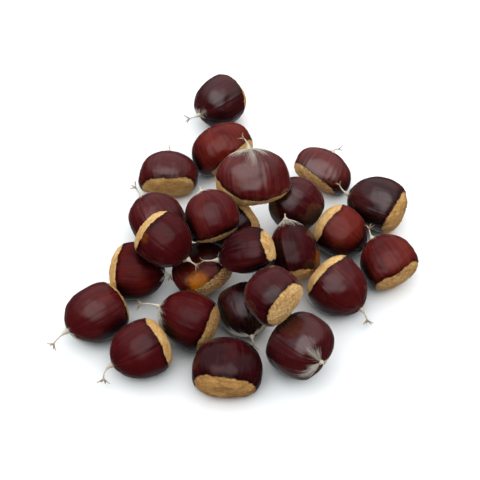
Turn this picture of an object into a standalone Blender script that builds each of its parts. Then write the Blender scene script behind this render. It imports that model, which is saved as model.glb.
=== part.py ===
"""A loose heap of sweet chestnuts, lying as they were tipped out on a table.

Metres, +Z up. The heap lies on z = 0 with the middle of its box over the origin.
Each chestnut is one closed solid: a shell with a pale base scar, the hilum, and at its
tip the dry style, most of them with a star of thin stigmas at the end.

The layout is read from the photograph. Each nut has the pixel where the middle of its
outline is seen, and the way its tip points in the picture. The sight line through that
pixel gives its place. Nuts of the lower layer keep to the table. Nuts of the upper layer
are free to rise and sink, and are drawn to those that carry them. All are moved apart
until none is closer to another than a small gap.
"""

import math
import random
from functools import cache
from itertools import combinations
from typing import NamedTuple

import bmesh
import bpy
import numpy as np
from mathutils import Matrix, Vector

MM = 0.001

# How the photograph was taken
PHOTO_PIXELS = 480
SIGHT_ELEVATION = math.radians(51)
SIGHT_DISTANCE = 0.70
PHOTO_SPAN = 0.256

# Form of a shell, shared by all nuts
CROWN_SHARE = 0.60
DOME_SHARE = 0.60
CROWN_FULLNESS = 2.5
BLUNT_POWER = 0.50
POINTED_POWER = 0.95
BASE_FULLNESS = 2.8
BASE_ROUNDING = 0.45
DOME_SECTION = 2.2
WOBBLE = 0.018
HILUM_ANGLE = math.radians(132)
HILUM_SIDE_RISE = math.radians(6)
HILUM_CORNERS = math.radians(4)

# Faceting
SEGMENTS = 18
SHELL_RINGS = 9
HILUM_RINGS = 2

# How the nuts lie
GAP = 0.30 * MM
FLAT_SPOT = 0.30 * MM
SETTLING_ROUNDS = 500
LAST_ROUNDS = 200
APART_ENOUGH = 0.01 * MM
SIGHT_PULL = 0.35
CLOSING_SHARE = 0.06
LOWER_SHARE = 0.25
UPPER_HEIGHT = 30 * MM
FAR_APART = 46 * MM
LEVEL_ENOUGH = 0.3

# Style and stigmas at the tip
STYLE_SIDES = 5
STYLE_RINGS = 6
STYLE_ROOT = 2.0 * MM
STYLE_FOOT = 1.25 * MM
STYLE_END = 0.50 * MM
STIGMA_SIDES = 3
STIGMA_LENGTH = 3.6 * MM
STIGMA_FOOT = 0.42 * MM
STIGMA_END = 0.22 * MM
STIGMA_SPREAD = math.radians(52)
STYLE_CLEARANCE = 0.5 * MM

SHELL_BROWN = (0.065, 0.012, 0.009)
HILUM_TAN = (0.48, 0.27, 0.10)
STYLE_STRAW = (0.40, 0.24, 0.11)


class Nut(NamedTuple):
    """One chestnut. Sizes are in millimetres, angles in degrees."""

    name: str
    seen_at: tuple  # middle of its outline in the photograph, in pixels
    width: float  # across the broad face
    height: float  # hilum to tip, without the style
    depth: float  # flat face to domed face
    heading: float  # where the tip points in the photograph, anticlockwise from the right
    towards: float  # how far the tip leans out of the picture, towards the viewer
    turn: float = 0  # about the nut's own axis; at 0 the domed face looks at the viewer
    pointed: float = 0.5  # from a blunt crown, 0, to a pointed one, 1
    flatness: float = 2.6  # superellipse power of the flat side's section
    style: tuple = ()  # heading and towards where it ends, and its length
    stigmas: int = 0
    scar: tuple = (0, 0, 0, 0)  # how far the hilum is grown, grown at both ends, and at one side


LOWER_LAYER = (
    Nut("nut_01", (220.2, 101.3), 27.6, 28.5, 25, 215, 25, 0, -0.1, 2.6, (188, -10, 7), 5, (3, 0, 10, 0)),
    Nut("nut_02", (222, 149), 35, 25.5, 25, 118, -6, 0, 0, scar=(2, 0, 24, 180)),
    Nut("nut_03", (168.7, 173.3), 32, 26.5, 23, 88, -27, 0, 0.6, 2.6, (95, -10, 4), 0, (0, 0, 7, 180)),
    Nut("nut_05", (322.5, 170.8), 32, 22, 17.5, 62, -10, 0, 0.2, 2.6, (350, 0, 5), 3, (2, 0, 20, 0)),
    Nut("nut_06", (296, 205), 29, 30, 22, 140, 35, 0, 0.2),
    Nut("nut_07", (377.2, 205), 28, 32, 24, 160, -16, 0, 0.2, 2.6, (110, 10, 8), 4, (0, 0, 12, 0)),
    Nut("nut_08", (340, 231), 26.5, 28, 22, 325, 5, 0, 0.2, scar=(10, 0, 0, 0)),
    Nut("nut_09", (389, 262.5), 29, 28, 22, 122, -16, 0, 0.2, 2.6, (95, 10, 6), 5),
    Nut("nut_10", (336, 285), 30, 30, 24, 316, 8, 0, 0.3, 2.6, (280, 0, 7), 6, (6, 0, 0, 0)),
    Nut("nut_11", (299.2, 345.3), 32, 29.5, 25, 324, 45, 0, -0.2, 2.6, (330, 55, 2.5)),
    Nut("nut_12", (227.2, 367.5), 34, 30, 24, 87, -31, 0, 0, scar=(-1, 0, 5, 0)),
    Nut("nut_14", (244.5, 309), 27, 28, 22, 285, 30, 0, 0.3, 2.6, (275, 0, 5), 3, (-8, 0, 0, 0)),
    Nut("nut_15", (188, 321), 28.5, 30.5, 23, 157, -6, 0, 0.2, 2.6, (188, 0, 10), 6),
    Nut("nut_16", (142, 347.8), 29, 30, 23, 207, 5, 0, 0.2, 2.6, (272, 0, 10), 6, (4, 0, 0, 0)),
    Nut("nut_17", (98.2, 311.2), 28.5, 32, 24, 211, 20, 0, 0.2, 2.6, (235, 0, 10), 6, (-9, 0, 0, 0)),
    Nut("nut_18", (137, 271.5), 29.5, 28.5, 23, 355, 6, 0, 0.4, 2.6, (350, 10, 5), 5, (8, 0, 0, 0)),
    Nut("nut_20", (157, 220), 29, 28, 24, 122, -10, 0, 0.2, 2.6, (130, 10, 6), 5),
    Nut("nut_22", (234, 225), 28, 27, 20, 215, 5, 0, 0.2, scar=(12, 0, 0, 0)),
    Nut("nut_24", (296, 250.5), 31, 32, 22, 102, -5, 65, 0.7, 3.4, (95, 0, 3), 0, (-6, 0, 0, 0)),
    Nut("nut_25", (202.3, 269.6), 30, 27.6, 22, 120, -22, 180, 0.7, 3.4, scar=(-8, 0, 12, 0)),
)

UPPER_LAYER = (
    Nut("nut_04", (251, 180), 39, 29.3, 22, 96, 4, 0, 0, 2.6, (142, 10, 7), 3, (-10, 40, 26, 0)),
    Nut("nut_13", (274, 296.7), 27.3, 26.3, 23, 140, -32, 0, 0, scar=(-2, 0, 5, 180)),
    Nut("nut_21", (214, 215), 29, 26.5, 21, 111, 5, 0, 0.2, 2.6, (120, 0, 3), 0, (-6, 0, 3, 0)),
    Nut("nut_19", (162.8, 241.5), 27, 28.5, 23, 321, 8, 0, 0.5, 2.6, (330, 0, 5), 4, (8, 0, 0, 0)),
    Nut("nut_23", (247, 250), 28, 29, 22, 189, -12, 90, 0.6, 3.0, (178, 0, 8), 3, (-13, 0, 14, 90)),
)

CARRIED_BY = {
    "nut_04": ("nut_06", "nut_22"),
    "nut_13": ("nut_11", "nut_14"),
    "nut_21": ("nut_22", "nut_25"),
    "nut_19": ("nut_18", "nut_20"),
    "nut_23": ("nut_24", "nut_25"),
}


# Sight lines of the photograph

VIEWER = Vector((0, -math.cos(SIGHT_ELEVATION), math.sin(SIGHT_ELEVATION)))
RIGHT = Vector((1, 0, 0))
UPWARDS = VIEWER.cross(RIGHT)


def sight_point(pixel, height):
    """Where the sight line through a pixel passes a height above the table."""
    half = PHOTO_PIXELS / 2
    per_pixel = PHOTO_SPAN / PHOTO_PIXELS / SIGHT_DISTANCE
    across = (pixel[0] - half) * per_pixel
    up = (half - pixel[1]) * per_pixel
    direction = RIGHT * across + UPWARDS * up - VIEWER
    eye = VIEWER * SIGHT_DISTANCE
    return eye + direction * ((height - eye.z) / direction.z)


def picture_direction(heading, towards):
    """Direction in space of something that points that way in the picture."""
    flat = RIGHT * math.cos(math.radians(heading))
    flat += UPWARDS * math.sin(math.radians(heading))
    lean = math.radians(towards)
    return flat * math.cos(lean) + VIEWER * math.sin(lean)


def turned_as_seen(nut):
    """Rotation from a nut's own axes to the table's: +Z is its tip, +Y its domed face."""
    tip = picture_direction(nut.heading, nut.towards)
    dome = (VIEWER - tip * VIEWER.dot(tip)).normalized()
    dome = Matrix.Rotation(math.radians(nut.turn), 3, tip) @ dome
    return Matrix((dome.cross(tip), dome, tip)).transposed()


# One shell, in its own axes


def girth(rise, pointed):
    """Half-width at a height, as a share of the widest. rise is -1 at the hilum, 1 at the tip."""
    if rise < 0:
        return (1 - (-rise) ** BASE_FULLNESS) ** BASE_ROUNDING
    power = BLUNT_POWER + (POINTED_POWER - BLUNT_POWER) * pointed
    return (1 - rise**CROWN_FULLNESS) ** power


def signed_power(value, power):
    return math.copysign(abs(value) ** power, value)


@cache
def wobble_phases(name):
    draw = random.Random(name)
    return [draw.uniform(0, math.tau) for _ in range(3)]


def shell_point(nut, angle, around):
    """Point of the shell. angle runs from 0 at the tip to pi at the hilum's middle."""
    rise = max(-1.0, min(1.0, math.cos(angle)))
    wide = girth(rise, nut.pointed)
    first, second, third = wobble_phases(nut.name)
    uneven = 1 + WOBBLE * (
        math.cos(around * 2 + first) * math.sin(angle)
        + math.cos(around * 3 + second + rise * 2)
        + math.cos(around + third - rise * 3)
    )
    domed = math.sin(around) > 0
    power = 2 / (DOME_SECTION if domed else nut.flatness)
    reach = nut.depth * (DOME_SHARE if domed else 1 - DOME_SHARE)
    tall = nut.height * (CROWN_SHARE if rise > 0 else 1 - CROWN_SHARE)
    return Vector((
        nut.width / 2 * wide * uneven * signed_power(math.cos(around), power),
        reach * wide * uneven * signed_power(math.sin(around), power),
        tall * rise,
    )) * MM


def hilum_edge(nut, around):
    """Angle at which the shell ends and the hilum begins: an oblong with full corners."""
    grown, longer, tilt, side = (math.radians(value) for value in nut.scar)
    edge = HILUM_ANGLE - grown - (HILUM_SIDE_RISE + longer) * math.cos(around) ** 2
    edge -= HILUM_CORNERS * math.sin(2 * around) ** 2
    return edge - tilt * math.cos(around - side)


def shell_mesh(nut):
    """Points and faces of a shell. One ring of points follows the hilum's edge."""
    points = [shell_point(nut, 0, 0)]
    rings = SHELL_RINGS + HILUM_RINGS
    for ring in range(1, rings + 1):
        for step in range(SEGMENTS):
            around = math.tau * step / SEGMENTS
            edge = hilum_edge(nut, around)
            if ring <= SHELL_RINGS:
                angle = edge * ring / SHELL_RINGS
            else:
                angle = edge + (math.pi - edge) * (ring - SHELL_RINGS) / (HILUM_RINGS + 1)
            points.append(shell_point(nut, angle, around))
    points.append(shell_point(nut, math.pi, 0))
    faces = []
    last = len(points) - 1
    for step in range(SEGMENTS):
        after = (step + 1) % SEGMENTS
        faces.append((0, 1 + step, 1 + after))
        for ring in range(rings - 1):
            upper, lower = 1 + ring * SEGMENTS, 1 + (ring + 1) * SEGMENTS
            faces.append((upper + step, lower + step, lower + after, upper + after))
        bottom = 1 + (rings - 1) * SEGMENTS
        faces.append((bottom + after, bottom + step, last))
    return points, faces


def smooth_points(nut):
    """Points of the smooth shell behind the faceted one, close together."""
    turns = [math.tau * step / (2 * SEGMENTS) for step in range(2 * SEGMENTS)]
    angles = [math.pi * row / SEGMENTS for row in range(SEGMENTS + 1)]
    return [shell_point(nut, angle, around) for angle in angles for around in turns]


def is_hilum(face):
    """Whether a face lies in the hilum, which it does if all its points are on its edge or in it."""
    return min(face) >= 1 + (SHELL_RINGS - 1) * SEGMENTS


# Laying the nuts


def even_directions(count):
    """Directions spread evenly over the sphere. The second half is opposite the first."""
    golden = math.pi * (3 - math.sqrt(5))
    rise = (np.arange(count) + 0.5) / count
    out = np.sqrt(1 - rise**2)
    turn = np.arange(count) * golden
    half = np.stack([out * np.cos(turn), out * np.sin(turn), rise], axis=1)
    return np.concatenate([half, -half])


DIRECTIONS = even_directions(700)


class Laid:
    """A nut with its rotation, its place, and how far its shell reaches in every direction."""

    def __init__(self, nut, on_table):
        self.nut = nut
        self.on_table = on_table
        self.rotation = turned_as_seen(nut)
        self.points, self.faces = shell_mesh(nut)
        outside = np.array([self.rotation @ point for point in smooth_points(nut)])
        self.reach = (outside @ DIRECTIONS.T).max(axis=0)
        turned = np.array([self.rotation @ point for point in self.points])
        self.lowest = turned[:, 2].min()
        across = turned @ np.array(RIGHT)
        up = turned @ np.array(UPWARDS)
        self.outline_middle = RIGHT * float(across.max() + across.min()) / 2
        self.outline_middle += UPWARDS * float(up.max() + up.min()) / 2
        self.centre = None

    def place_as_seen(self, height):
        """Puts the nut's centre at a height, where the photograph shows the nut's outline."""
        middle = sight_point(self.nut.seen_at, height + self.outline_middle.z)
        self.centre = middle - self.outline_middle


def opposite(reach):
    half = reach.shape[-1] // 2
    return np.roll(reach, half, axis=-1)


def clearance(nut, other):
    """How far apart two shells are, less than zero if they cut, and the way from one to the other."""
    between = DIRECTIONS @ np.array(other.centre - nut.centre)
    gaps = between - nut.reach - opposite(other.reach)
    best = int(gaps.argmax())
    return gaps[best], DIRECTIONS[best]


def nudge(nut, way, length):
    """Moves a nut, only sideways if it belongs to the lower layer."""
    move = Vector(way) * length
    if nut.on_table:
        move.z = 0
    nut.centre += move


def move_apart(nut, other):
    """Moves two nuts apart if they are closer than the gap, and tells by how much they were.

    Two nuts of the same layer share the move. Between the layers the lower nut moves less.
    """
    if (nut.centre - other.centre).length > FAR_APART:
        return 0
    apart, way = clearance(nut, other)
    if apart >= GAP:
        return 0
    short = GAP - apart
    share = 1 / 2
    if nut.on_table and other.on_table:
        level = Vector((way[0], way[1], 0))
        if level.length < LEVEL_ENOUGH:
            level = other.centre - nut.centre
            level.z = 0
        way = level.normalized()
    elif nut.on_table or other.on_table:
        share = LOWER_SHARE if nut.on_table else 1 - LOWER_SHARE
    nudge(nut, way, -short * share)
    nudge(other, way, short * (1 - share))
    return GAP - apart


def lay_heap():
    """All nuts in place: each near its sight line, none closer to another than the gap.

    The pull to the sight lines and to the carrying nuts eases off to nothing, and the last
    rounds only move nuts apart.
    """
    lower = [Laid(nut, True) for nut in LOWER_LAYER]
    upper = [Laid(nut, False) for nut in UPPER_LAYER]
    heap = lower + upper
    by_name = {laid.nut.name: laid for laid in heap}
    for laid in lower:
        laid.place_as_seen(-laid.lowest - FLAT_SPOT)
    for laid in upper:
        laid.place_as_seen(UPPER_HEIGHT)
    pairs = list(combinations(heap, 2))
    for step in range(SETTLING_ROUNDS + LAST_ROUNDS):
        ease = max(0, 1 - step / SETTLING_ROUNDS)
        for laid in heap if ease > 0 else ():
            before = laid.centre.copy()
            laid.place_as_seen(before.z)
            laid.centre = before.lerp(laid.centre, SIGHT_PULL * ease)
        for laid in upper if ease > 0 else ():
            for name in CARRIED_BY[laid.nut.name]:
                apart, way = clearance(laid, by_name[name])
                if apart > GAP:
                    nudge(laid, way, (apart - GAP) * CLOSING_SHARE * ease)
        worst = max(move_apart(nut, other) for nut, other in pairs)
        if ease == 0 and worst < APART_ENOUGH:
            break
    return heap


# Style and stigmas


def room(point, laid):
    """How far a point is outside a convex shell, less than zero inside, and the way out."""
    gaps = DIRECTIONS @ np.array(point - laid.centre) - laid.reach
    best = int(gaps.argmax())
    return gaps[best], Vector(DIRECTIONS[best])


def kept_clear(point, nut, heap, radius):
    """The point, moved out of every shell that is closer to it than a thin stalk may come."""
    for _ in range(6):
        for laid in heap:
            free, way = room(point, laid)
            wanted = radius + (0 if laid is nut else STYLE_CLEARANCE)
            if free < wanted:
                point = point + way * (wanted - free)
        point.z = max(point.z, radius + STYLE_CLEARANCE)
    return point


def stalk_mesh(path, radii, sides):
    """Closed tube along a path, with a radius at each of its points."""
    points, faces = [], []
    along = (path[-1] - path[0]).normalized()
    side = along.orthogonal().normalized()
    for i, (middle, radius) in enumerate(zip(path, radii)):
        ahead = path[min(i + 1, len(path) - 1)] - path[max(i - 1, 0)]
        along = ahead.normalized()
        side = (side - along * side.dot(along)).normalized()
        other = along.cross(side)
        for step in range(sides):
            turn = math.tau * step / sides
            out = side * math.cos(turn) + other * math.sin(turn)
            points.append(middle + out * radius)
    for ring in range(len(path) - 1):
        low, high = ring * sides, (ring + 1) * sides
        for step in range(sides):
            after = (step + 1) % sides
            faces.append((low + step, low + after, high + after, high + step))
    faces.append(tuple(reversed(range(sides))))
    faces.append(tuple(range((len(path) - 1) * sides, len(path) * sides)))
    return points, faces


def style_path(laid, heap):
    """Points of the style, from inside the tip, and the way in which it ends."""
    heading, towards, length = laid.nut.style
    tip = laid.centre + laid.rotation @ laid.points[0]
    out = laid.rotation @ Vector((0, 0, 1))
    end = picture_direction(heading, towards)
    path = [tip - out * STYLE_ROOT]
    for ring in range(1, STYLE_RINGS):
        share = ring / (STYLE_RINGS - 1)
        point = tip + (out * (share - share**2 / 2) + end * (share**2 / 2)) * length * MM
        path.append(kept_clear(point, laid, heap, STYLE_END))
    return path, (path[-1] - path[-2]).normalized()


def tuft_meshes(laid, heap):
    """The style's tube and a thin spike for each stigma, in the heap's axes."""
    path, end = style_path(laid, heap)
    shares = [ring / (STYLE_RINGS - 1) for ring in range(STYLE_RINGS)]
    radii = [STYLE_FOOT + (STYLE_END - STYLE_FOOT) * share**0.5 for share in shares]
    meshes = [stalk_mesh(path, radii, STYLE_SIDES)]
    draw = random.Random("stigmas of " + laid.nut.name)
    side = end.orthogonal().normalized()
    for index in range(laid.nut.stigmas):
        turn = math.tau * (index + draw.uniform(-0.2, 0.2)) / laid.nut.stigmas
        outward = Matrix.Rotation(turn, 3, end) @ side
        spread = STIGMA_SPREAD * draw.uniform(0.75, 1.15)
        way = end * math.cos(spread) + outward * math.sin(spread)
        length = STIGMA_LENGTH * draw.uniform(0.75, 1.15)
        root = path[-1] - end * STYLE_END
        far = kept_clear(root + way * length, laid, heap, STIGMA_END)
        bend = kept_clear((root + far) / 2 + end * 0.3 * MM, laid, heap, STIGMA_FOOT)
        radii = (STIGMA_FOOT, (STIGMA_FOOT + STIGMA_END) / 2, STIGMA_END)
        meshes.append(stalk_mesh([root, bend, far], radii, STIGMA_SIDES))
    return meshes


# Objects


def material(name, colour, roughness):
    made = bpy.data.materials.new(name)
    made.use_nodes = True
    shader = made.node_tree.nodes["Principled BSDF"]
    shader.inputs["Base Color"].default_value = (*colour, 1)
    shader.inputs["Roughness"].default_value = roughness
    made.diffuse_color = (*colour, 1)
    return made


def mesh_object(name, points, faces, centre, collection):
    """An object whose own middle is at centre, from points in the heap's axes."""
    mesh = bpy.data.meshes.new(name)
    mesh.from_pydata([point - centre for point in points], [], faces)
    made = bpy.data.objects.new(name, mesh)
    made.location = centre
    collection.objects.link(made)
    return made


def join_tuft(nut, laid, heap, style):
    """Joins the style and its stigmas to the shell, as one closed surface."""
    helpers = bpy.data.collections.new("tuft")
    bpy.context.scene.collection.children.link(helpers)
    for points, faces in tuft_meshes(laid, heap):
        made = mesh_object("tuft", points, faces, laid.centre, helpers)
        made.data.materials.append(style)
    union = nut.modifiers.new("tuft", "BOOLEAN")
    union.operation = "UNION"
    union.solver = "EXACT"
    union.operand_type = "COLLECTION"
    union.collection = helpers
    bpy.context.view_layer.update()
    joined = nut.evaluated_get(bpy.context.evaluated_depsgraph_get())
    mesh = bpy.data.meshes.new_from_object(joined)
    nut.modifiers.clear()
    nut.data = mesh
    for made in list(helpers.objects):
        bpy.data.objects.remove(made)
    bpy.data.collections.remove(helpers)


def cut_at_table(nut):
    """Takes off what is below the table, which leaves the flat spot that the nut lies on."""
    mesh = bmesh.new()
    mesh.from_mesh(nut.data)
    everything = mesh.verts[:] + mesh.edges[:] + mesh.faces[:]
    level = Vector((0, 0, -nut.location.z))
    cut = bmesh.ops.bisect_plane(
        mesh, geom=everything, plane_co=level, plane_no=(0, 0, -1), clear_outer=True
    )
    edges = [item for item in cut["geom_cut"] if isinstance(item, bmesh.types.BMEdge)]
    bmesh.ops.contextual_create(mesh, geom=edges)
    mesh.to_mesh(nut.data)
    mesh.free()


def nut_object(laid, heap, materials):
    """One chestnut as an object."""
    shell, hilum, style = materials
    points = [laid.centre + laid.rotation @ point for point in laid.points]
    nut = mesh_object(laid.nut.name, points, laid.faces, laid.centre, bpy.context.scene.collection)
    nut.data.materials.append(shell)
    nut.data.materials.append(hilum)
    for face in nut.data.polygons:
        face.material_index = int(is_hilum(face.vertices))
    if laid.nut.style:
        nut.data.materials.append(style)
        join_tuft(nut, laid, heap, style)
    if laid.on_table:
        cut_at_table(nut)
    nut.data.shade_smooth()
    return nut


def put_over_origin(nuts):
    """Shifts the heap over the table until the middle of its box is over the origin."""
    corners = [nut.location + vertex.co for nut in nuts for vertex in nut.data.vertices]
    for axis in (0, 1):
        places = [corner[axis] for corner in corners]
        middle = (min(places) + max(places)) / 2
        for nut in nuts:
            nut.location[axis] -= middle


def main():
    for old in list(bpy.data.objects):
        bpy.data.objects.remove(old)
    materials = (
        material("shell", SHELL_BROWN, 0.25),
        material("hilum", HILUM_TAN, 0.85),
        material("style", STYLE_STRAW, 0.80),
    )
    heap = lay_heap()
    nuts = [nut_object(laid, heap, materials) for laid in heap]
    put_over_origin(nuts)
    return heap


HEAP = main()
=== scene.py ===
"""Looks of the heap of sweet chestnuts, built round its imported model.

Every nut of the frame is replaced by a fine shell of the same form in the same place. The
shell has its dents, pleats and fibrous base scar in the mesh, and on it sit the dry style with
its stigmas and the silky down round the tip. Metres, +Z up, as in the frame.
"""

import math
import random
from functools import cache
from typing import NamedTuple

import bpy
import numpy as np
from mathutils import Matrix, Vector


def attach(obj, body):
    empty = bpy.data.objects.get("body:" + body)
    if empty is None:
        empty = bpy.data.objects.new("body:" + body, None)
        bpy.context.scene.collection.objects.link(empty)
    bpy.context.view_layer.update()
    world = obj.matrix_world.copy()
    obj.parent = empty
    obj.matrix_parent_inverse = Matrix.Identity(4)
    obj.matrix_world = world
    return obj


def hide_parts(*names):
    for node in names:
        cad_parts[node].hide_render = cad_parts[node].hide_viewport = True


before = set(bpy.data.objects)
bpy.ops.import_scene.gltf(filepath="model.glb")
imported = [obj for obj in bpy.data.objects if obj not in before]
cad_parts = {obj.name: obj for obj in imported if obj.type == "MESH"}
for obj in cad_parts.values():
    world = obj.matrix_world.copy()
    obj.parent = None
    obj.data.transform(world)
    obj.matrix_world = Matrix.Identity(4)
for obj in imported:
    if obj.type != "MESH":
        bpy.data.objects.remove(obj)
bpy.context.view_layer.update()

MM = 0.001

# How the photograph was taken
SIGHT_ELEVATION = math.radians(51)
SIGHT_DISTANCE = 0.70
PHOTO_SPAN = 0.256
SIGHT_TARGET = Vector((0.0019, -0.0019, 0))
SENSOR = 36

# Form of a shell, as in the part's source
CROWN_SHARE = 0.60
DOME_SHARE = 0.60
CROWN_FULLNESS = 2.5
BLUNT_POWER = 0.50
POINTED_POWER = 0.95
BASE_FULLNESS = 2.8
BASE_ROUNDING = 0.45
DOME_SECTION = 2.2
WOBBLE = 0.018
HILUM_ANGLE = math.radians(132)
HILUM_SIDE_RISE = math.radians(6)
HILUM_CORNERS = math.radians(4)

# Style and stigmas, as in the part's source
STYLE_RINGS = 6
STYLE_ROOT = 2.0 * MM
STYLE_FOOT = 1.25 * MM
STYLE_END = 0.50 * MM
STIGMA_LENGTH = 3.6 * MM
STIGMA_FOOT = 0.42 * MM
STIGMA_END = 0.22 * MM
STIGMA_SPREAD = math.radians(52)
STYLE_CLEARANCE = 0.5 * MM
CLEARING_ROUNDS = 6

# Fineness of the meshes
SEGMENTS = 144
SHELL_ROWS = 66
HILUM_ROWS = 22
SHELL_CROWDING = 1.25  # how much closer the rows lie next to the scar's edge
SCAR_CROWDING = 1.3
REACH_SEGMENTS = 36
FINE_RINGS = 12
FINE_SIDES = 9
STIGMA_RINGS = 7
STIGMA_SIDES = 6
WAYS = 700

# Relief: heights and widths in millimetres
DENTS = ((10.0, 0.09), (4.2, 0.030))
PLEATS = 0.10
PLEATS_REACH = 0.55  # radians from the tip
RIDGES = 0.033
WRINKLES = 0.22
KEEL_WIDTH = 1.7
KEEL_START = math.radians(32)
LIP = 0.10
LIP_WIDTH = 0.7
RIM_FADE = 0.6
SCAR_FADE = 0.5
TIP_FADE = 0.25  # radians
SCAR_STEP = 0.20
SCAR_PITS = ((2.6, 0.08), (0.9, 0.035))
JAGGED = math.radians(2.1)


class Nut(NamedTuple):
    """One chestnut. Sizes are in millimetres, angles in degrees."""

    name: str
    width: float  # across the broad face
    height: float  # hilum to tip, without the style
    depth: float  # flat face to domed face
    heading: float  # where the tip points in the photograph, anticlockwise from the right
    towards: float  # how far the tip leans out of the picture, towards the viewer
    turn: float = 0  # about the nut's own axis; at 0 the domed face looks at the viewer
    pointed: float = 0.5  # from a blunt crown, 0, to a pointed one, 1
    flatness: float = 2.6  # superellipse power of the flat side's section
    style: tuple = ()  # heading and towards where it ends, and its length
    stigmas: int = 0
    scar: tuple = (0, 0, 0, 0)  # how far the hilum is grown, grown at both ends, and at one side


NUTS = (
    Nut("nut_01", 27.6, 28.5, 25, 215, 25, 0, -0.1, 2.6, (188, -10, 7), 5, (3, 0, 10, 0)),
    Nut("nut_02", 35, 25.5, 25, 118, -6, 0, 0, scar=(2, 0, 24, 180)),
    Nut("nut_03", 32, 26.5, 23, 88, -27, 0, 0.6, 2.6, (95, -10, 4), 0, (0, 0, 7, 180)),
    Nut("nut_04", 39, 29.3, 22, 96, 4, 0, 0, 2.6, (142, 10, 7), 3, (-10, 40, 26, 0)),
    Nut("nut_05", 32, 22, 17.5, 62, -10, 0, 0.2, 2.6, (350, 0, 5), 3, (2, 0, 20, 0)),
    Nut("nut_06", 29, 30, 22, 140, 35, 0, 0.2),
    Nut("nut_07", 28, 32, 24, 160, -16, 0, 0.2, 2.6, (110, 10, 8), 4, (0, 0, 12, 0)),
    Nut("nut_08", 26.5, 28, 22, 325, 5, 0, 0.2, scar=(10, 0, 0, 0)),
    Nut("nut_09", 29, 28, 22, 122, -16, 0, 0.2, 2.6, (95, 10, 6), 5),
    Nut("nut_10", 30, 30, 24, 316, 8, 0, 0.3, 2.6, (280, 0, 7), 6, (6, 0, 0, 0)),
    Nut("nut_11", 32, 29.5, 25, 324, 45, 0, -0.2, 2.6, (330, 55, 2.5)),
    Nut("nut_12", 34, 30, 24, 87, -31, 0, 0, scar=(-1, 0, 5, 0)),
    Nut("nut_13", 27.3, 26.3, 23, 140, -32, 0, 0, scar=(-2, 0, 5, 180)),
    Nut("nut_14", 27, 28, 22, 285, 30, 0, 0.3, 2.6, (275, 0, 5), 3, (-8, 0, 0, 0)),
    Nut("nut_15", 28.5, 30.5, 23, 157, -6, 0, 0.2, 2.6, (188, 0, 10), 6),
    Nut("nut_16", 29, 30, 23, 207, 5, 0, 0.2, 2.6, (272, 0, 10), 6, (4, 0, 0, 0)),
    Nut("nut_17", 28.5, 32, 24, 211, 20, 0, 0.2, 2.6, (235, 0, 10), 6, (-9, 0, 0, 0)),
    Nut("nut_18", 29.5, 28.5, 23, 355, 6, 0, 0.4, 2.6, (350, 10, 5), 5, (8, 0, 0, 0)),
    Nut("nut_19", 27, 28.5, 23, 321, 8, 0, 0.5, 2.6, (330, 0, 5), 4, (8, 0, 0, 0)),
    Nut("nut_20", 29, 28, 24, 122, -10, 0, 0.2, 2.6, (130, 10, 6), 5),
    Nut("nut_21", 29, 26.5, 21, 111, 5, 0, 0.2, 2.6, (120, 0, 3), 0, (-6, 0, 3, 0)),
    Nut("nut_22", 28, 27, 20, 215, 5, 0, 0.2, scar=(12, 0, 0, 0)),
    Nut("nut_23", 28, 29, 22, 189, -12, 90, 0.6, 3.0, (178, 0, 8), 3, (-13, 0, 14, 90)),
    Nut("nut_24", 31, 32, 22, 102, -5, 65, 0.7, 3.4, (95, 0, 3), 0, (-6, 0, 0, 0)),
    Nut("nut_25", 30, 27.6, 22, 120, -22, 180, 0.7, 3.4, scar=(-8, 0, 12, 0)),
)


class Skin(NamedTuple):
    """The looks of one chestnut."""

    red: float  # from a dark shell, 0, to a red-brown one, 1
    gloss: float  # how strongly the shell mirrors, against a usual waxy skin
    down: float  # how much pale down lies round the tip
    pale: float  # from a brown base scar, 0, to a pale one, 1
    wrinkled: float = 0
    amber: tuple = ()  # glowing patch: angle from the tip, turn round the axis, radius, strength
    tufts: tuple = ()  # tufts of down: the turn round the axis and how far from the tip, of each
    flecked: float = 0.5  # how strong the flecks of the base scar are
    keel: tuple = ()  # ridge from the down to the scar: turn round the axis, height in millimetres


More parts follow.
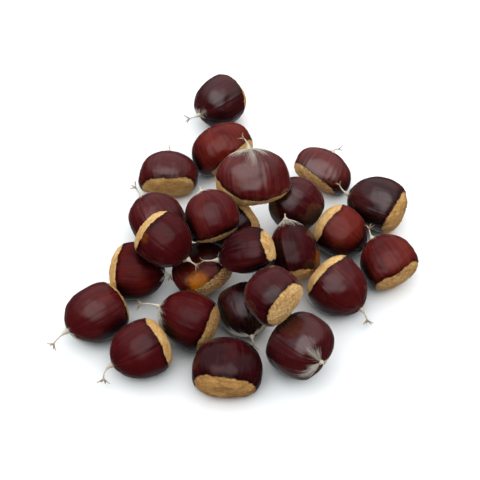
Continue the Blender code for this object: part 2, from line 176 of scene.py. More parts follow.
SKINS = {
    "nut_01": Skin(0.2, 1.35, 0.8, 0.6),
    "nut_02": Skin(0.88, 0.55, 0.3, 0.6),
    "nut_03": Skin(0.6, 1.1, 0.3, 0.6, flecked=0.2),
    "nut_04": Skin(
        0.7, 1.35, 1.1, 0.6, 0.15,
        tufts=((95, 60), (58, 34), (125, 40), (78, 26), (20, 30), (165, 30)),
    ),
    "nut_05": Skin(0.75, 1.6, 0.6, 0.4, flecked=0.8),
    "nut_06": Skin(0.45, 1, 0.3, 0.6),
    "nut_07": Skin(0.05, 1.25, 0.3, 0.5, flecked=0.2),
    "nut_08": Skin(0.95, 0.45, 0.3, 0.9),
    "nut_09": Skin(0.75, 0.5, 0.3, 0.6),
    "nut_10": Skin(0.5, 0.8, 0.5, 0.8, 0.1),
    "nut_11": Skin(
        0.35, 1.5, 1.2, 0.6,
        tufts=((84, 38), (66, 22), (172, 40), (150, 20), (285, 20)),
    ),
    "nut_12": Skin(0, 0.5, 0.3, 0.2, flecked=0.1),
    "nut_13": Skin(0.22, 0.8, 0.5, 0.8, flecked=1),
    "nut_14": Skin(
        0.1, 0.9, 0.9, 0.6,
        tufts=((5, 55), (175, 55), (30, 25), (150, 25)),
    ),
    "nut_15": Skin(
        0.42, 0.28, 1.2, 0.4,
        tufts=((0, 52), (20, 52), (40, 50), (60, 44), (80, 38), (110, 28), (150, 24)),
    ),
    "nut_16": Skin(0.38, 0.45, 0.4, 0.7),
    "nut_17": Skin(
        0.5, 0.7, 0.4, 0.4,
        tufts=((0, 48), (30, 22), (180, 16), (100, 14)),
    ),
    "nut_18": Skin(0.5, 0.15, 0.6, 0.9),
    "nut_19": Skin(0.25, 0.35, 0.5, 0.9, 0, (114, 112, 2.4, 0.25)),
    "nut_20": Skin(0.6, 0.85, 0.4, 0.6),
    "nut_21": Skin(0.6, 0.55, 0.7, 0.6),
    "nut_22": Skin(0.2, 0.6, 0.3, 0.6),
    "nut_23": Skin(0.05, 0.4, 0.6, 0.8, 0.8),
    "nut_24": Skin(
        0.1, 0.40, 1.2, 0.4, 0, (114, 98, 5, 0.45), keel=(8, 1.3),
        tufts=(
            (350, 40), (10, 42), (35, 38), (60, 40), (90, 34),
            (130, 38), (180, 36), (250, 34), (310, 38),
        ),
    ),
    "nut_25": Skin(0.95, 0.25, 0.5, 0.2, 0, (128, -99, 4.6, 1), flecked=1),
}

VIEWER = Vector((0, -math.cos(SIGHT_ELEVATION), math.sin(SIGHT_ELEVATION)))
RIGHT = Vector((1, 0, 0))
UPWARDS = VIEWER.cross(RIGHT)


def picture_direction(heading, towards):
    """Direction in space of something that points that way in the picture."""
    flat = RIGHT * math.cos(math.radians(heading))
    flat += UPWARDS * math.sin(math.radians(heading))
    lean = math.radians(towards)
    return flat * math.cos(lean) + VIEWER * math.sin(lean)


def turned_as_seen(nut):
    """Rotation from a nut's own axes to the heap's: +Z is its tip, +Y its domed face."""
    tip = picture_direction(nut.heading, nut.towards)
    dome = (VIEWER - tip * VIEWER.dot(tip)).normalized()
    dome = Matrix.Rotation(math.radians(nut.turn), 3, tip) @ dome
    return Matrix((dome.cross(tip), dome, tip)).transposed()


# Form of one shell, in its own axes


def girth(rise, pointed):
    """Half-width at a height, as a share of the widest. rise is -1 at the hilum, 1 at the tip."""
    power = BLUNT_POWER + (POINTED_POWER - BLUNT_POWER) * pointed
    base = (1 - np.clip(-rise, 0, 1) ** BASE_FULLNESS) ** BASE_ROUNDING
    crown = (1 - np.clip(rise, 0, 1) ** CROWN_FULLNESS) ** power
    return np.where(rise < 0, base, crown)


@cache
def wobble_phases(name):
    draw = random.Random(name)
    return [draw.uniform(0, math.tau) for _ in range(3)]


def shell_points(nut, angle, around):
    """Points of the smooth shell. angle runs from 0 at the tip to pi at the hilum's middle."""
    rise = np.clip(np.cos(angle), -1, 1)
    first, second, third = wobble_phases(nut.name)
    uneven = 1 + WOBBLE * (
        np.cos(around * 2 + first) * np.sin(angle)
        + np.cos(around * 3 + second + rise * 2)
        + np.cos(around + third - rise * 3)
    )
    wide = girth(rise, nut.pointed) * uneven
    across, out = np.cos(around), np.sin(around)
    domed = out > 0
    power = np.where(domed, 2 / DOME_SECTION, 2 / nut.flatness)
    reach = nut.depth * np.where(domed, DOME_SHARE, 1 - DOME_SHARE)
    tall = nut.height * np.where(rise > 0, CROWN_SHARE, 1 - CROWN_SHARE)
    return np.stack([
        nut.width / 2 * wide * np.sign(across) * np.abs(across) ** power,
        reach * wide * np.sign(out) * np.abs(out) ** power,
        tall * rise + 0 * around,
    ], axis=-1) * MM


def hilum_edge(nut, around):
    """Angle at which the shell ends and the hilum begins, with its jagged line."""
    draw = np.random.default_rng(int(nut.name[4:]))
    grown, longer, tilt, side = (math.radians(value) for value in nut.scar)
    edge = HILUM_ANGLE - grown - (HILUM_SIDE_RISE + longer) * np.cos(around) ** 2
    edge = edge - HILUM_CORNERS * np.sin(2 * around) ** 2 - tilt * np.cos(around - side)
    for turns in (3, 5, 9, 15, 23, 34, 47, 58):
        size = JAGGED * turns ** -0.35 * draw.uniform(0.4, 1)
        edge = edge + size * np.cos(turns * around + draw.uniform(0, math.tau))
    return edge


def ripples(points, size, seed, count=22):
    """Smooth noise of about unit strength in space, with waves of about a size in millimetres."""
    draw = np.random.default_rng(seed)
    ways = draw.normal(size=(count, 3))
    ways /= np.linalg.norm(ways, axis=1)[:, None]
    waves = ways * (math.tau / (size * MM) * draw.uniform(0.6, 1.5, count))[:, None]
    phases = draw.uniform(0, math.tau, count)
    return np.cos(points @ waves.T + phases).sum(axis=-1) / math.sqrt(count / 2)


def layered(layers, points, seed):
    """Sum of ripples, one for each pair of a wave's size and height in millimetres."""
    return sum(high * ripples(points, long, seed + i) for i, (long, high) in enumerate(layers))


def turning_waves(around, low, high, seed, drift=0):
    """Sum of waves round the nut's axis, each a whole number of times."""
    draw = np.random.default_rng(seed)
    total = 0
    for turns in range(low, high, 3):
        total = total + np.cos(turns * around + draw.uniform(0, math.tau) + drift * draw.normal())
    return total / math.sqrt((high - low) / 6)


# Where the frame has each nut


def even_directions(count):
    """Directions spread evenly over the sphere."""
    golden = math.pi * (3 - math.sqrt(5))
    rise = (np.arange(count) + 0.5) / count
    out = np.sqrt(1 - rise**2)
    turn = np.arange(count) * golden
    half = np.stack([out * np.cos(turn), out * np.sin(turn), rise], axis=1)
    return np.concatenate([half, -half])


DIRECTIONS = even_directions(WAYS)


class Laid:
    """A nut with its rotation and its place, read from its node of the frame."""

    def __init__(self, nut):
        self.nut = nut
        self.skin = SKINS[nut.name]
        self.seed = int(nut.name[4:])
        self.rotation = turned_as_seen(nut)
        self.turn = np.array(self.rotation)
        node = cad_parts[nut.name].data
        corners = np.zeros(len(node.vertices) * 3)
        node.vertices.foreach_get("co", corners)
        own = corners.reshape(-1, 3) @ self.turn
        hilum_middle = own[own[:, 2].argmin()]
        base = np.array((0, 0, (1 - CROWN_SHARE) * nut.height * MM))
        self.centre = self.turn @ (hilum_middle + base)
        rows = np.linspace(0, math.pi, REACH_SEGMENTS // 2 + 1)[:, None]
        columns = np.arange(REACH_SEGMENTS) * math.tau / REACH_SEGMENTS
        smooth = shell_points(nut, rows, columns).reshape(-1, 3) @ self.turn.T
        self.reach = (smooth @ DIRECTIONS.T).max(axis=0)

    def in_heap(self, points):
        """Points in the nut's own axes, moved to where it lies. Nothing goes below the table."""
        placed = points @ self.turn.T + self.centre
        placed[..., 2] = np.maximum(placed[..., 2], 0)
        return placed


# Meshes


def mesh_object(name, points, faces, materials, fields=()):
    """A piece of the heap, with one float or vector field for each point under each name."""
    mesh = bpy.data.meshes.new(name)
    mesh.from_pydata(points, [], faces)
    for material in materials:
        mesh.materials.append(material)
    for field, values in fields:
        kind, part = ("FLOAT_VECTOR", "vector") if values.ndim == 2 else ("FLOAT", "value")
        made = mesh.attributes.new(field, kind, "POINT")
        made.data.foreach_set(part, np.ascontiguousarray(values, np.float32).ravel())
    mesh.shade_smooth()
    piece = bpy.data.objects.new(name, mesh)
    bpy.context.scene.collection.objects.link(piece)
    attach(piece, "root")
    return piece


def grid_faces(rows, columns):
    """Faces of a closed surface: a point, rows of points round the axis, and a point."""
    step = np.arange(columns)
    after = (step + 1) % columns
    top = np.stack([np.zeros_like(step), 1 + step, 1 + after], axis=1)
    starts = (1 + np.arange(rows - 1) * columns)[:, None]
    low, high = starts + step, starts + after
    quads = np.stack([low, low + columns, high + columns, high], axis=-1).reshape(-1, 4)
    bottom = 1 + (rows - 1) * columns
    last = np.full_like(step, 1 + rows * columns)
    end = np.stack([bottom + after, bottom + step, last], axis=1)
    return top.tolist() + quads.tolist() + end.tolist()


def outward(points, rows, columns):
    """Unit normals of such a surface."""
    grid = points[1:-1].reshape(rows, columns, 3)
    above = np.concatenate([np.broadcast_to(points[0], (1, columns, 3)), grid[:-1]])
    below = np.concatenate([grid[1:], np.broadcast_to(points[-1], (1, columns, 3))])
    along = below - above
    sideways = np.roll(grid, -1, axis=1) - np.roll(grid, 1, axis=1)
    normal = np.cross(along, sideways)
    normal /= np.linalg.norm(normal, axis=-1)[..., None] + 1e-12
    ends = np.array([[0, 0, 1.0]]), np.array([[0, 0, -1.0]])
    return np.concatenate([ends[0], normal.reshape(-1, 3), ends[1]])


AMBER_RAGGED = 0.12
AMBER_FADE = 1.1


def amber_field(laid, points):
    """1 in the middle of the nut's translucent patch, and 0 away from it."""
    if not laid.skin.amber:
        return np.zeros(len(points))
    angle, around, radius, strength = laid.skin.amber
    middle = shell_points(laid.nut, np.radians(angle), np.radians(around))
    far = np.linalg.norm(points - middle, axis=1) / (radius * MM)
    far += AMBER_RAGGED * ripples(points, 3.0, laid.seed + 900)
    return np.clip((1.5 - far) * AMBER_FADE, 0, 1) * strength


def shell_piece(laid, materials):
    """The shell with its hilum, as a fine mesh."""
    nut, seed = laid.nut, laid.seed
    around = np.arange(SEGMENTS) * math.tau / SEGMENTS
    edge = hilum_edge(nut, around)
    shell_share = 1 - (1 - np.arange(1, SHELL_ROWS + 1) / SHELL_ROWS) ** SHELL_CROWDING
    scar_share = (np.arange(1, HILUM_ROWS + 1) / (HILUM_ROWS + 1)) ** SCAR_CROWDING
    angle = np.concatenate([
        edge * shell_share[:, None],
        edge + (math.pi - edge) * scar_share[:, None],
    ])
    rows = SHELL_ROWS + HILUM_ROWS
    around = np.broadcast_to(around, angle.shape)
    edge = np.broadcast_to(edge, angle.shape)
    points = shell_points(nut, angle, around).reshape(-1, 3)
    tip = shell_points(nut, np.array(0.0), np.array(0.0))
    base = shell_points(nut, np.array(math.pi), np.array(0.0))
    points = np.concatenate([[tip], points, [base]])

    def with_ends(values, first, last):
        return np.concatenate([[first], values.ravel(), [last]])

    typical = (nut.width + nut.depth) / 4
    rim = with_ends((edge - angle) * typical, 30, -10)
    steep = with_ends(angle, 0, math.pi)
    round_axis = with_ends(around, 0, 0)
    on_shell = np.clip(rim / RIM_FADE, 0, 1)
    on_scar = np.clip(-rim / SCAR_FADE, 0, 1)

    relief = layered(DENTS, points, seed * 7)
    away = np.clip(steep / TIP_FADE, 0, 1)
    pleats = turning_waves(round_axis, 7, 26, seed + 100) * np.exp(-((steep / PLEATS_REACH) ** 2))
    ridges = turning_waves(round_axis, 24, 60, seed + 200, 0.5) * np.sin(steep)
    wrinkles = turning_waves(round_axis, 9, 24, seed + 300) * np.sin(steep) ** 2
    lengthwise = PLEATS * pleats + RIDGES * ridges + WRINKLES * laid.skin.wrinkled * wrinkles
    relief += on_shell * away * lengthwise
    if laid.skin.keel:
        side, tall = laid.skin.keel
        aside = np.angle(np.exp(1j * (round_axis - math.radians(side)))) * np.sin(steep) * typical
        begins = np.clip((steep - KEEL_START) / KEEL_START, 0, 1)
        relief += tall * np.exp(-np.abs(aside) / KEEL_WIDTH) * on_shell * begins
    relief += LIP * np.exp(-((rim / LIP_WIDTH) ** 2)) * (rim > 0)
    relief += on_scar * (layered(SCAR_PITS, points, seed * 11) - SCAR_STEP)
    own = points
    points = points + outward(points, rows, SEGMENTS) * (relief * MM)[:, None]

    grain = np.stack([np.cos(round_axis), np.sin(round_axis), steep / math.pi], axis=1)
    ends = np.zeros((len(points), 3))
    ends[:, 2] = seed
    fields = (
        ("grain", grain + ends * 3.7),
        ("own", own / MM + ends * 50),
        ("rim", rim),
        ("steep", steep),
        ("red", np.full(len(points), laid.skin.red)),
        ("down", Wedges(nut, laid.skin).cover(steep, round_axis)),
        ("pale", np.full(len(points), laid.skin.pale)),
        ("flecked", np.full(len(points), laid.skin.flecked)),
        ("gloss", np.full(len(points), laid.skin.gloss)),
        ("amber", amber_field(laid, points)),
    )
    faces = grid_faces(rows, SEGMENTS)
    piece = mesh_object(nut.name + "_shell", laid.in_heap(points), faces, materials, fields)
    in_scar = np.zeros(len(faces), np.int32)
    in_scar[SEGMENTS * SHELL_ROWS:] = 1
    piece.data.polygons.foreach_set("material_index", in_scar)
    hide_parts(nut.name)
    return piece


# Style and stigmas


def room(point, laid):
    """How far a point is outside a shell, less than zero inside, and the way out."""
    gaps = DIRECTIONS @ (np.array(point) - laid.centre) - laid.reach
    best = int(gaps.argmax())
    return gaps[best], Vector(DIRECTIONS[best])


def kept_clear(point, nut, heap, radius):
    """The point, moved out of every shell that is closer to it than a thin stalk may come."""
    for _ in range(CLEARING_ROUNDS):
        for laid in heap:
            free, way = room(point, laid)
            wanted = radius + (0 if laid is nut else STYLE_CLEARANCE)
            if free < wanted:
                point = point + way * (wanted - free)
        point.z = max(point.z, radius + STYLE_CLEARANCE)
    return point


def bent(start, middle, end, count):
    """Points along a smooth curve that leaves start towards middle and comes to end."""
    shares = [i / (count - 1) for i in range(count)]
    return [start * (1 - t) ** 2 + middle * (2 * t * (1 - t)) + end * t**2 for t in shares]


def tube(path, radii, sides=FINE_SIDES, ribs=0.0):
    """Points and faces of a closed tube along a path, ribbed round its girth."""
    points, faces = [], []
    side = (path[-1] - path[0]).orthogonal().normalized()
    for i, (middle, radius) in enumerate(zip(path, radii)):
        along = (path[min(i + 1, len(path) - 1)] - path[max(i - 1, 0)]).normalized()
        side = (side - along * side.dot(along)).normalized()
        other = along.cross(side)
        for step in range(sides):
            turn = math.tau * step / sides
            out = radius * (1 + ribs * math.cos(3 * turn + i * 0.35))
            points.append(middle + side * (out * math.cos(turn)) + other * (out * math.sin(turn)))
    for ring in range(len(path) - 1):
        low, high = ring * sides, (ring + 1) * sides
        for step in range(sides):
            after = (step + 1) % sides
            faces.append((low + step, low + after, high + after, high + step))
    faces.append(tuple(reversed(range(sides))))
    faces.append(tuple(range((len(path) - 1) * sides, len(path) * sides)))
    return points, faces


def style_path(laid, heap, rings):
    """Points of the style, from inside the tip to its end."""
    heading, towards, length = laid.nut.style
    tall = Vector((0, 0, CROWN_SHARE * laid.nut.height * MM))
    tip = Vector(laid.centre) + laid.rotation @ tall
    out = laid.rotation @ Vector((0, 0, 1))
    end = picture_direction(heading, towards)
    path = [tip - out * STYLE_ROOT]
    for ring in range(1, rings):
        share = ring / (rings - 1)
        point = tip + (out * (share - share**2 / 2) + end * (share**2 / 2)) * length * MM
        path.append(kept_clear(point, laid, heap, STYLE_END))
    return path


def tuft_piece(laid, heap, material):
    """The style with its stigmas, as a fine mesh of closed tubes that run into each other."""
    coarse = style_path(laid, heap, STYLE_RINGS)
    end = (coarse[-1] - coarse[-2]).normalized()
    path = style_path(laid, heap, FINE_RINGS)
    shares = [i / (FINE_RINGS - 1) for i in range(FINE_RINGS)]
    radii = [STYLE_END * 0.75 + STYLE_FOOT * max(0, 1 - share * 2) ** 1.7 for share in shares]
    tubes = [tube(path, radii, ribs=0.12)]
    along = [min(1, share * 0.75) for share in shares for _ in range(FINE_SIDES)]
    tubes_draw = random.Random("stigmas of " + laid.nut.name)
    side = end.orthogonal().normalized()
    for index in range(laid.nut.stigmas):
        turn = math.tau * (index + tubes_draw.uniform(-0.2, 0.2)) / laid.nut.stigmas
        outward_way = Matrix.Rotation(turn, 3, end) @ side
        spread = STIGMA_SPREAD * tubes_draw.uniform(0.75, 1.15)
        way = end * math.cos(spread) + outward_way * math.sin(spread)
        length = STIGMA_LENGTH * tubes_draw.uniform(0.75, 1.15)
        root = path[-1] - end * STYLE_END
        far = kept_clear(root + way * length, laid, heap, STIGMA_END)
        bend = kept_clear((root + far) / 2 + end * 0.3 * MM, laid, heap, STIGMA_FOOT)
        curve = bent(root, bend * 2 - (root + far) / 2, far, STIGMA_RINGS)
        foot, tip = STIGMA_FOOT * 0.8, STIGMA_END * 0.7
        radii = [foot + (tip - foot) * i / (STIGMA_RINGS - 1) for i in range(STIGMA_RINGS)]
        tubes.append(tube(curve, radii, STIGMA_SIDES))
        for ring in range(STIGMA_RINGS):
            along += [0.7 + 0.3 * ring / (STIGMA_RINGS - 1)] * STIGMA_SIDES
    points, faces = [], []
    for more_points, more_faces in tubes:
        faces += [tuple(len(points) + corner for corner in face) for face in more_faces]
        points += more_points
    corners = [tuple(point) for point in points]
    fields = (("along", np.array(along)),)
    return mesh_object(laid.nut.name + "_tuft", corners, faces, [material], fields)


# Down round the tip


HAIRS = 230
HAIR_POINTS = 6
HAIR_RADIUS = 0.038 * MM
HAIR_FOOT = 0.08  # how far a hair's root stands off the shell, in millimetres
WEDGES = 7


class Wedges:
    """The tufts in which the down lies: where each points, how wide it is, how far it reaches."""

    def __init__(self, nut, skin):
        draw = np.random.default_rng(int(nut.name[4:]) + 700)
        if skin.tufts:
            self.middle, self.reach = np.radians(skin.tufts).T
            self.width = draw.uniform(0.12, 0.26, len(skin.tufts))
            return
        self.middle = (np.arange(WEDGES) + draw.uniform(0, 0.7, WEDGES)) * math.tau / WEDGES
        self.width = draw.uniform(0.10, 0.32, WEDGES)
        self.reach = (0.16 + 0.42 * draw.uniform(0, 1, WEDGES) ** 1.6) * (0.35 + 0.75 * skin.down)

    def cover(self, angle, around):
        """How dense the down is at a point of the shell, from 0 to 1."""
        aside = np.angle(np.exp(1j * (around[:, None] - self.middle)))
        wide = self.width * (0.4 + 0.6 / (1 + 6 * angle[:, None]))
        fade = np.clip(1 - angle[:, None] / self.reach, 0, 1) ** 0.7
        return (np.exp(-((aside / wide) ** 2)) * fade).max(axis=1)


def down_piece(laid, material):
    """Silky hairs that lie on the crown and fan out from the tip, each a thin closed tube."""
    nut = laid.nut
    wedges = Wedges(nut, laid.skin)
    draw = np.random.default_rng(laid.seed + 500)
    count = int(HAIRS * (0.3 + 0.7 * laid.skin.down))
    share = np.linspace(0, 1, HAIR_POINTS)
    wedge = draw.integers(0, len(wedges.middle), (count, 1))
    reach = wedges.reach[wedge]
    start = reach * draw.uniform(0.05, 0.6, (count, 1))
    length = reach * draw.uniform(0.3, 0.75, (count, 1))
    spread = wedges.width[wedge] * draw.normal(0, 0.8, (count, 1))
    around = wedges.middle[wedge] + spread + draw.normal(0, 0.12, (count, 1)) * share
    angle = start + length * share
    here = shell_points(nut, angle, around)
    step = 0.01
    down_slope = shell_points(nut, angle + step, around) - here
    sideways = shell_points(nut, angle, around + step) - here
    normal = np.cross(down_slope, sideways)
    normal /= np.linalg.norm(normal, axis=-1)[..., None]
    lift = HAIR_FOOT + draw.uniform(0.1, 0.7, (count, 1)) * share * (1.15 - share)
    path = here + normal * (lift * MM)[..., None]
    side = np.cross(normal, down_slope)
    side /= np.linalg.norm(side, axis=-1)[..., None]
    radius = (HAIR_RADIUS * (1.2 - share))[None, :, None]
    sides = [path + (side * math.cos(turn) + normal * math.sin(turn)) * radius
             for turn in (math.pi / 2, math.pi * 7 / 6, math.pi * 11 / 6)]
    points = np.stack(sides, axis=2).reshape(-1, 3)
    faces = []
    for hair in range(count):
        first = hair * HAIR_POINTS * 3
        for ring in range(HAIR_POINTS - 1):
            low = first + ring * 3
            for corner in range(3):
                after = (corner + 1) % 3
                faces.append((low + corner, low + after, low + 3 + after, low + 3 + corner))
        last = first + (HAIR_POINTS - 1) * 3
        faces.append((first + 2, first + 1, first))
        faces.append((last, last + 1, last + 2))
    return mesh_object(nut.name + "_down", laid.in_heap(points), faces, [material])


# Materials


class Nodes:
    """Short calls that make and link the nodes of one material."""

    def __init__(self, name):
        self.material = bpy.data.materials.new(name)
        self.material.use_nodes = True
        self.tree = self.material.node_tree
        self.shader = self.tree.nodes["Principled BSDF"]

    def put(self, target, value):
        if isinstance(value, bpy.types.NodeSocket):
            self.tree.links.new(value, target)
        elif isinstance(value, tuple) and len(value) == 3 and target.type == "RGBA":
            target.default_value = (*value, 1)
        else:
            target.default_value = value

    def node(self, kind, inputs, output=0, **settings):
        made = self.tree.nodes.new("ShaderNode" + kind)
        for key, value in settings.items():
            setattr(made, key, value)
        for key, value in inputs.items():
            self.put(made.inputs[key], value)
        return made.outputs[output]

    def field(self, name, vector=False):
        return self.node("Attribute", {}, 1 if vector else 2, attribute_name=name)

    def sum(self, first, second, kind="ADD"):
        return self.node("Math", {0: first, 1: second}, operation=kind)

    def times(self, first, second):
        return self.sum(first, second, "MULTIPLY")

    def stretched(self, vector, scale):
        return self.node("VectorMath", {0: vector, 1: scale}, operation="MULTIPLY")

    def noise(self, vector, scale, detail=2.0, roughness=0.5):
        inputs = {"Vector": vector, "Scale": scale, "Detail": detail, "Roughness": roughness}
        return self.node("TexNoise", inputs)

    def between(self, value, low, high, to_low=0.0, to_high=1.0):
        """Smooth step of a value from one range to another."""
        inputs = {"Value": value, 1: low, 2: high, 3: to_low, 4: to_high}
        return self.node("MapRange", inputs, interpolation_type="SMOOTHSTEP")

    def mix(self, share, first, second):
        return self.node("Mix", {0: share, 6: first, 7: second}, 2, data_type="RGBA")

    def openness(self, distance):
        """How much of the space within a distance is free, from 0 in a deep gap to 1."""
        return self.node("AmbientOcclusion", {"Distance": distance}, 1, samples=12)

    def bump(self, height, distance, strength=1.0, below=None):
        inputs = {"Height": height, "Distance": distance, "Strength": strength}
        if below is not None:
            inputs["Normal"] = below
        return self.node("Bump", inputs)

    def set(self, **inputs):
        for name, value in inputs.items():
            self.put(self.shader.inputs[name.replace("_", " ")], value)


# Colours
DARK_SHELL = (0.024, 0.0018, 0.0030)
BROWN_SHELL = (0.064, 0.0036, 0.0048)
RED_SHELL = (0.142, 0.0110, 0.0048)
# The darkest shell colour, also used as painted shade in the gaps between nuts
DARKEST_SHELL_AND_PAINTED_SHADE = (0.0045, 0.0010, 0.0012)
DOWN_GREY = (0.52, 0.46, 0.39)
AMBER = (0.40, 0.115, 0.004)
SCAR_DARK = (0.18, 0.065, 0.016)
SCAR_BROWN = (0.32, 0.145, 0.038)
SCAR_TAN = (0.56, 0.285, 0.070)
SCAR_PALE = (0.72, 0.45, 0.165)
SCAR_LIGHT = (0.84, 0.66, 0.40)
STRAW = (0.62, 0.55, 0.43)
STRAW_DARK = (0.22, 0.125, 0.045)
DOWN_PALE = (0.80, 0.76, 0.69)
FLOOR_WHITE = (0.96, 0.97, 0.97)
PAINTED_GAP_SHADE = (0.28, 0.30, 0.31)
SHEEN = (0.9, 0.8, 0.82)

# How far round a point its surroundings count as a gap, into which shade is painted darker on the
# shell and the floor
SHELL_PAINTED_SHADE_REACH = 18 * MM
FLOOR_PAINTED_SHADE_REACH = 22 * MM


def shell_material():
    m = Nodes("chestnut_shell")
    grain = m.field("grain", True)
    place = m.node("TexCoord", {}, "Object")
    streaks = m.noise(m.stretched(grain, (7, 7, 1.1)), 1.0, 3.0)
    fine = m.noise(m.stretched(grain, (34, 34, 1.6)), 1.0, 2.0)
    blotches = m.noise(place, 75.0, 3.0)
    tone = m.sum(m.field("red"), m.times(m.sum(blotches, 0.5, "SUBTRACT"), 1.1))
    tone = m.sum(tone, m.times(m.sum(streaks, 0.5, "SUBTRACT"), 0.7))
    tone = m.sum(tone, m.times(m.sum(fine, 0.5, "SUBTRACT"), 0.35))
    colour = m.mix(m.between(tone, -0.15, 0.45), DARK_SHELL, BROWN_SHELL)
    colour = m.mix(m.between(tone, 0.40, 1.15), colour, RED_SHELL)
    from_scar = m.sum(m.field("rim"), m.times(streaks, 3.0))
    colour = m.mix(m.times(m.between(from_scar, 1.2, 4.5, 1.0, 0.0), 0.75), colour, DARKEST_SHELL_AND_PAINTED_SHADE)
    # Painted shade: the shell turns darkest where other nuts close round it
    colour = m.mix(m.between(m.openness(SHELL_PAINTED_SHADE_REACH), 0.34, 0.92, 0.96, 0.0), colour, DARKEST_SHELL_AND_PAINTED_SHADE)
    glow = m.times(m.field("amber"), m.between(fine, 0.25, 0.6, 0.55, 1.0))
    colour = m.mix(glow, colour, AMBER)
    downy = m.times(m.field("down"), m.between(fine, 0.30, 0.60, 0.5, 1.25))
    colour = m.mix(downy, colour, DOWN_GREY)
    rough = m.sum(m.times(blotches, 0.14), m.times(downy, 0.35))
    rough = m.sum(rough, m.times(m.between(streaks, 0.30, 0.70), 0.16))
    rough = m.sum(rough, 0.07)
    speckle = m.noise(place, 1500.0, 2.0)
    bump = m.bump(fine, 0.05 * MM, 0.5)
    bump = m.bump(speckle, 0.02 * MM, 0.35, bump)
    level = m.times(m.field("gloss"), 0.5)
    m.set(Base_Color=colour, Roughness=rough, Specular_IOR_Level=level, Normal=bump)
    sheen = m.times(m.field("gloss"), 0.14)
    m.set(Sheen_Weight=sheen, Sheen_Roughness=0.30, Sheen_Tint=SHEEN)
    return m.material


def scar_material():
    m = Nodes("chestnut_scar")
    own = m.field("own", True)
    patches = m.noise(m.stretched(own, (0.13, 0.26, 0.26)), 1.0, 2.0)
    fibres = m.noise(m.stretched(own, (0.40, 1.50, 1.50)), 1.0, 4.0, 0.6)
    flecks = m.noise(m.stretched(own, (0.75, 2.40, 2.40)), 1.0, 3.0, 0.6)
    pale = m.field("pale")
    light = m.sum(pale, m.times(m.sum(patches, 0.5, "SUBTRACT"), 2.4))
    light = m.sum(light, m.times(m.sum(fibres, 0.5, "SUBTRACT"), 2.2))
    colour = m.mix(m.between(light, -0.2, 0.6), SCAR_BROWN, SCAR_TAN)
    colour = m.mix(m.between(light, 0.5, 1.3), colour, SCAR_PALE)
    flecked = m.field("flecked")
    colour = m.mix(m.times(m.between(flecks, 0.53, 0.65), flecked), colour, SCAR_LIGHT)
    dark_flecks = m.between(m.sum(flecks, m.times(pale, 0.10)), 0.51, 0.39)
    colour = m.mix(m.times(dark_flecks, flecked), colour, SCAR_DARK)
    edge = m.sum(m.field("rim"), m.times(m.sum(fibres, 0.5, "SUBTRACT"), 1.6))
    colour = m.mix(m.between(edge, -0.8, -0.1, 0.0, 0.8), colour, SCAR_DARK)
    height = m.sum(fibres, m.times(flecks, 0.8))
    m.set(Base_Color=colour, Roughness=0.78, Normal=m.bump(height, 0.30 * MM, 0.8))
    return m.material


def style_material():
    m = Nodes("chestnut_style")
    place = m.node("TexCoord", {}, "Object")
    streaks = m.noise(place, 900.0, 3.0)
    dried = m.sum(m.field("along"), m.times(m.sum(streaks, 0.5, "SUBTRACT"), 1.2))
    colour = m.mix(m.between(dried, 0.45, 1.05), STRAW, STRAW_DARK)
    m.set(Base_Color=colour, Roughness=0.72, Normal=m.bump(streaks, 0.1 * MM, 0.8))
    return m.material


def down_material():
    m = Nodes("chestnut_down")
    place = m.node("TexCoord", {}, "Object")
    shade = m.noise(place, 700.0, 2.0)
    colour = m.mix(shade, STRAW, DOWN_PALE)
    m.set(Base_Color=colour, Roughness=0.55, Normal=m.bump(shade, 0.05 * MM, 0.3))
    return m.material


# Floor, light and camera


FLOOR_HALF = 4.0
FLOOR_DEPTH = 0.2 * MM


def floor():
    """A plain pale floor, a hair under the nuts, with grey shade painted into the gaps between
    them.
    """
    mesh = bpy.data.meshes.new("floor")
    signs = ((-1, -1), (1, -1), (1, 1), (-1, 1))
    corners = [(x * FLOOR_HALF, y * FLOOR_HALF, -FLOOR_DEPTH) for x, y in signs]
    mesh.from_pydata(corners, [], [(0, 1, 2, 3)])
    m = Nodes("floor_white")
    # Painted shade: grey where the nuts close round the floor, white in the open
    colour = m.mix(m.between(m.openness(FLOOR_PAINTED_SHADE_REACH), 0.08, 0.50), PAINTED_GAP_SHADE, FLOOR_WHITE)
    m.set(Base_Color=colour, Roughness=0.6)
    mesh.materials.append(m.material)
    plane = bpy.data.objects.new("floor", mesh)
    bpy.context.scene.collection.objects.link(plane)
    plane.visible_glossy = False
    plane.visible_diffuse = False


# The soft light that falls on the heap: wide, from above and a little from behind
FALLING = (
    (Vector((0, 0.30, 0.954)), (-0.10, 0.75), (1.34, 1.38, 1.40)),
)
FALLING_FLOOR = (0.36, 0.36, 0.365)

# What the shells mirror: the sky, a wide lamp overhead, and the pale table
MIRRORED = (
    (Vector((0, 0.45, 0.893)), (0.20, 0.75), (0.50, 0.51, 0.53)),
    (Vector((-0.10, -0.38, 0.92)).normalized(), (0.68, 1.00), (1.72, 1.69, 1.69)),
    (Vector((0, 0, -1)), (0.55, 0.90), (0.15, 0.15, 0.155)),
)
MIRRORED_FLOOR = (0.02, 0.02, 0.022)
BACKDROP = (1.0, 1.0, 1.0)


def glow(tree, where, way, spread, light):
    """Light that comes from round about one direction, fading to nothing at the spread's edge."""
    share = tree.nodes.new("ShaderNodeVectorMath")
    share.operation = "DOT_PRODUCT"
    share.inputs[1].default_value = way
    fade = tree.nodes.new("ShaderNodeMapRange")
    fade.interpolation_type = "SMOOTHSTEP"
    fade.inputs[1].default_value, fade.inputs[2].default_value = spread
    source = tree.nodes.new("ShaderNodeBackground")
    source.inputs["Color"].default_value = (*light, 1)
    tree.links.new(where, share.inputs[0])
    tree.links.new(share.outputs["Value"], fade.inputs[0])
    tree.links.new(fade.outputs[0], source.inputs["Strength"])
    return source.outputs[0]


def plain_light(tree, light):
    source = tree.nodes.new("ShaderNodeBackground")
    source.inputs["Color"].default_value = (*light, 1)
    return source.outputs[0]


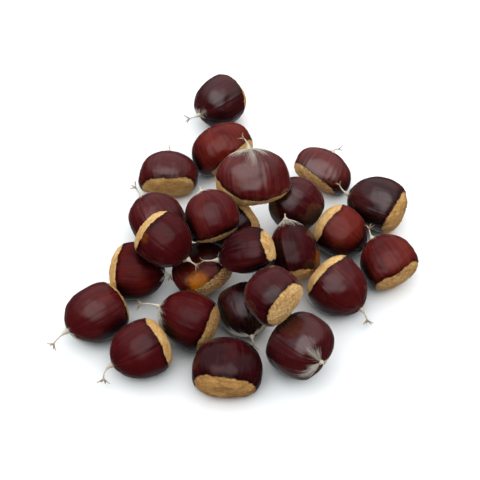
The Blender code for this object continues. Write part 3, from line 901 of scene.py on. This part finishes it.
def surroundings(tree, where, glows, everywhere):
    """Several glows on a dim light from everywhere."""
    total = plain_light(tree, everywhere)
    for way, spread, light in glows:
        both = tree.nodes.new("ShaderNodeAddShader")
        tree.links.new(total, both.inputs[0])
        tree.links.new(glow(tree, where, way, spread, light), both.inputs[1])
        total = both.outputs[0]
    return total


def chosen(tree, ray, first, second):
    """The second light for rays of one kind and the first for the others."""
    mixed = tree.nodes.new("ShaderNodeMixShader")
    tree.links.new(ray, mixed.inputs[0])
    tree.links.new(first, mixed.inputs[1])
    tree.links.new(second, mixed.inputs[2])
    return mixed.outputs[0]


def daylight():
    """Soft light on the heap, softboxes that only the gloss mirrors, and a plain white backdrop."""
    world = bpy.data.worlds.new("daylight")
    bpy.context.scene.world = world
    world.use_nodes = True
    world.cycles.sampling_method = "NONE"
    tree = world.node_tree
    tree.nodes.clear()
    where = tree.nodes.new("ShaderNodeTexCoord").outputs["Generated"]
    ray = tree.nodes.new("ShaderNodeLightPath").outputs
    falling = surroundings(tree, where, FALLING, FALLING_FLOOR)
    mirrored = surroundings(tree, where, MIRRORED, MIRRORED_FLOOR)
    light = chosen(tree, ray["Is Glossy Ray"], falling, mirrored)
    light = chosen(tree, ray["Is Camera Ray"], light, plain_light(tree, BACKDROP))
    tree.links.new(light, tree.nodes.new("ShaderNodeOutputWorld").inputs[0])


def camera():
    lens = bpy.data.cameras.new("camera")
    lens.sensor_width = SENSOR
    lens.lens = SENSOR * SIGHT_DISTANCE / PHOTO_SPAN
    made = bpy.data.objects.new("camera", lens)
    bpy.context.scene.collection.objects.link(made)
    made.location = SIGHT_TARGET + VIEWER * SIGHT_DISTANCE
    made.rotation_mode = "QUATERNION"
    made.rotation_quaternion = (-VIEWER).to_track_quat("-Z", "Y")
    bpy.context.scene.camera = made
    bpy.context.scene.view_settings.view_transform = "Standard"


def main():
    shell, scar = shell_material(), scar_material()
    style, down = style_material(), down_material()
    heap = [Laid(nut) for nut in NUTS]
    for laid in heap:
        shell_piece(laid, (shell, scar))
        if laid.nut.style:
            tuft_piece(laid, heap, style)
        down_piece(laid, down)
    floor()
    daylight()
    camera()


main()
